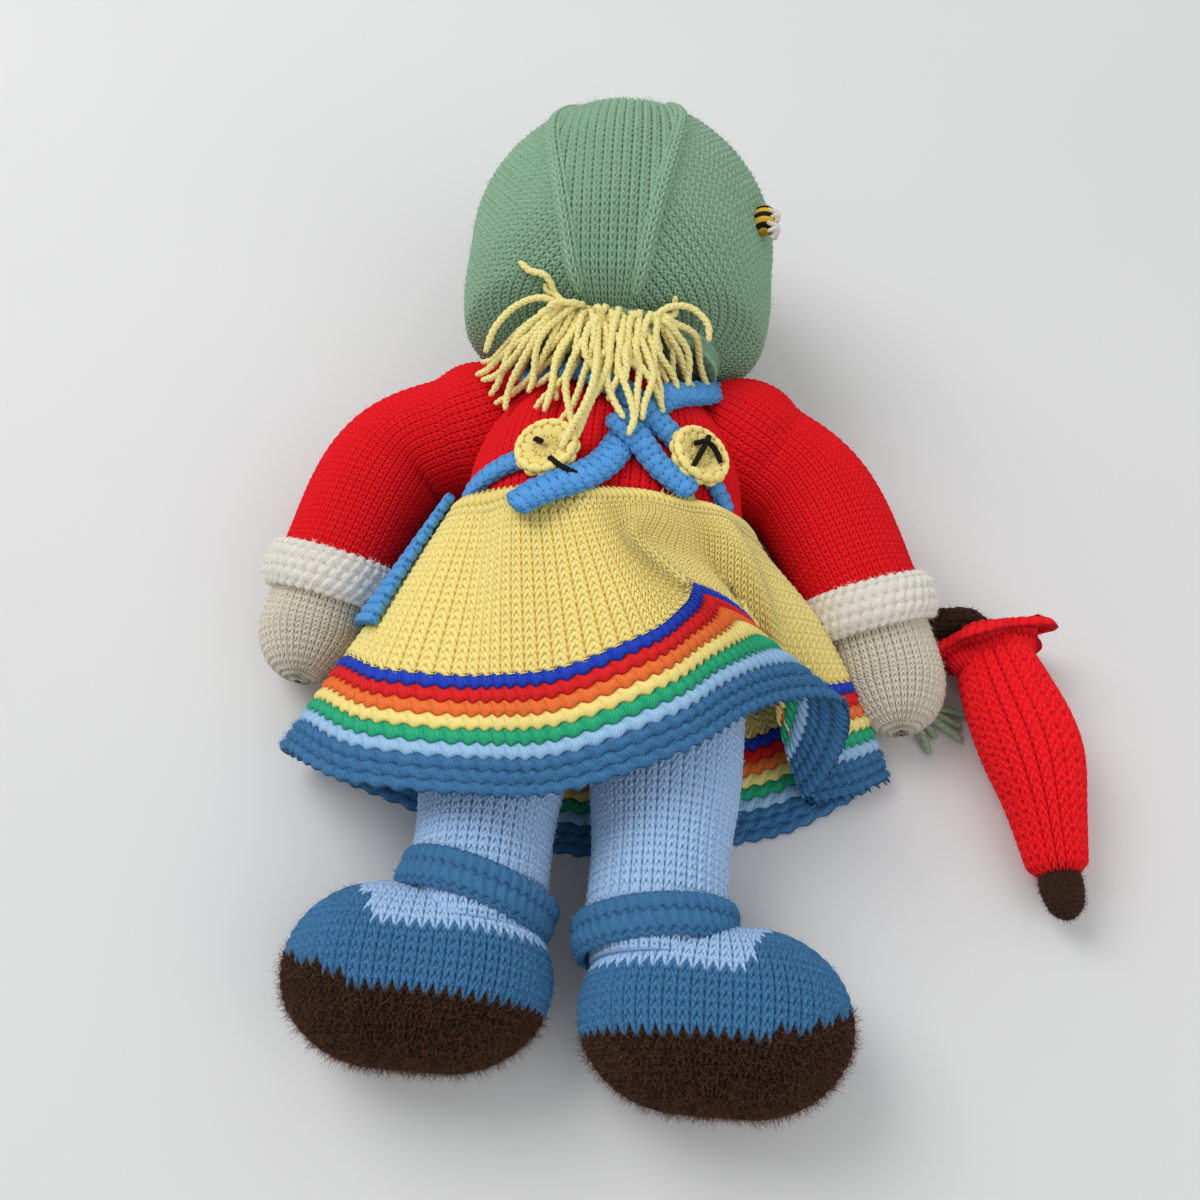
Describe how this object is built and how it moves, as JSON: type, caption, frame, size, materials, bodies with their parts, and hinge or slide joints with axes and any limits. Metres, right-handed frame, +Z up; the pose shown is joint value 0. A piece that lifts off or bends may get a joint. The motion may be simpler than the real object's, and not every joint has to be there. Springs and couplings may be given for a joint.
{
  "type": "knitted doll",
  "caption": "Knitted scarecrow doll lying face down, in a hat, red jumper, striped skirt, apron and boots, with a furled umbrella sewn to one hand.",
  "frame": {"origin": "under the middle of the doll, on the surface that it lies on", "axes": "+Y from the shoes to the hat, +X from the doll's left hand side in the picture to the umbrella, +Z up through its back, away from its face"},
  "size_m": [0.2814, 0.3516, 0.1084],
  "materials": {
    "red_knit": "brushed acrylic yarn in stocking stitch",
    "light_blue_knit": "acrylic yarn in stocking stitch",
    "denim_knit": "acrylic yarn, garter and stocking stitch",
    "brown_knit": "fuzzy dark brown yarn",
    "cream_knit": "cream yarn in garter stitch",
    "skin_knit": "pale beige yarn in stocking stitch",
    "sage_knit": "sage green yarn, stocking and garter stitch",
    "yellow_knit": "pale yellow yarn in stocking stitch",
    "apron_knit": "bright blue yarn",
    "royal_knit": "royal blue yarn in garter stitch",
    "orange_knit": "orange yarn in garter stitch",
    "green_knit": "green yarn in garter stitch",
    "sky_knit": "sky blue yarn in garter stitch",
    "straw_yarn": "loose pale yellow yarn",
    "nose_knit": "pink yarn",
    "black_thread": "black yarn, embroidered",
    "bee_knit": "yellow yarn with black bands"
  },
  "bodies": {
    "torso": {"torso": "red_knit", "bib": "apron_knit", "strap_right": "apron_knit", "strap_left": "apron_knit", "strap_tail": "apron_knit", "band_left": "apron_knit", "band_right": "apron_knit", "button_left": "yellow_knit", "button_right": "yellow_knit"},
    "head": {"head": "skin_knit", "nose": "nose_knit", "eye_left": "black_thread", "eye_right": "black_thread", "hat_crown": "sage_knit", "hat_brim": "sage_knit", "hair_back": "straw_yarn", "hair_fringe": "straw_yarn", "bee_body": "bee_knit", "bee_wing_lower": "cream_knit", "bee_wing_upper": "cream_knit"},
    "arm_left": {"sleeve_left": "red_knit", "cuff_left": "cream_knit", "hand_left": "skin_knit"},
    "arm_right": {"sleeve_right": "red_knit", "cuff_right": "cream_knit", "hand_right": "skin_knit", "yarn_tuft": "sage_knit"},
    "umbrella": {"umbrella_handle": "brown_knit", "umbrella_canopy": "red_knit", "umbrella_frill": "red_knit", "umbrella_tip": "brown_knit"},
    "hips": {"seat": "light_blue_knit", "skirt_waistband": "yellow_knit", "skirt_panel": "yellow_knit", "hem_royal": "royal_knit", "hem_red": "red_knit", "hem_orange": "orange_knit", "hem_yellow": "yellow_knit", "hem_green": "green_knit", "hem_sky": "sky_knit", "hem_denim": "denim_knit", "apron_panel": "apron_knit"},
    "leg_left": {"leg_left": "light_blue_knit"},
    "foot_left": {"ankle_strap_left": "denim_knit", "instep_left": "light_blue_knit", "shoe_upper_left": "denim_knit", "shoe_sole_left": "brown_knit"},
    "leg_right": {"leg_right": "light_blue_knit"},
    "foot_right": {"ankle_strap_right": "denim_knit", "instep_right": "light_blue_knit", "shoe_upper_right": "denim_knit", "shoe_sole_right": "brown_knit"}
  },
  "joints": [
    {"name": "neck_turn", "type": "hinge", "parent": "torso", "child": "head", "pos_m": [-0.02475, 0.06575, 0.054], "axis": [0, 1, 0], "range_deg": [-15, 15], "deforming": ["hair_back"]},
    {"name": "shoulder_left", "type": "hinge", "parent": "torso", "child": "arm_left", "pos_m": [-0.07025, 0.04975, 0.033], "axis": [0, 0, 1], "range_deg": [-50, 0]},
    {"name": "shoulder_right", "type": "hinge", "parent": "torso", "child": "arm_right", "pos_m": [0.02375, 0.04975, 0.033], "axis": [0, 0, 1], "range_deg": [0, 55]},
    {"name": "umbrella_swing", "type": "hinge", "parent": "arm_right", "child": "umbrella", "pos_m": [0.08675, -0.01105, 0.019], "axis": [0.995, 0.0995, 0], "range_deg": [-75, 0]},
    {"name": "hip_fold", "type": "hinge", "parent": "torso", "child": "hips", "pos_m": [-0.02325, 0.02075, 0], "axis": [1, 0, 0], "range_deg": [0, 85]},
    {"name": "hip_left", "type": "hinge", "parent": "hips", "child": "leg_left", "pos_m": [-0.05075, -0.03925, 0.029], "axis": [0, 0, 1], "range_deg": [-12, 1.5]},
    {"name": "hip_right", "type": "hinge", "parent": "hips", "child": "leg_right", "pos_m": [0.00425, -0.03925, 0.029], "axis": [0, 0, 1], "range_deg": [-1.5, 8]},
    {"name": "foot_turn_left", "type": "hinge", "parent": "leg_left", "child": "foot_left", "pos_m": [-0.05075, -0.11725, 0.025], "axis": [0, 1, 0], "range_deg": [-80, 15]},
    {"name": "foot_turn_right", "type": "hinge", "parent": "leg_right", "child": "foot_right", "pos_m": [0.00425, -0.12225, 0.025], "axis": [0, 1, 0], "range_deg": [-15, 80]}
  ]
}
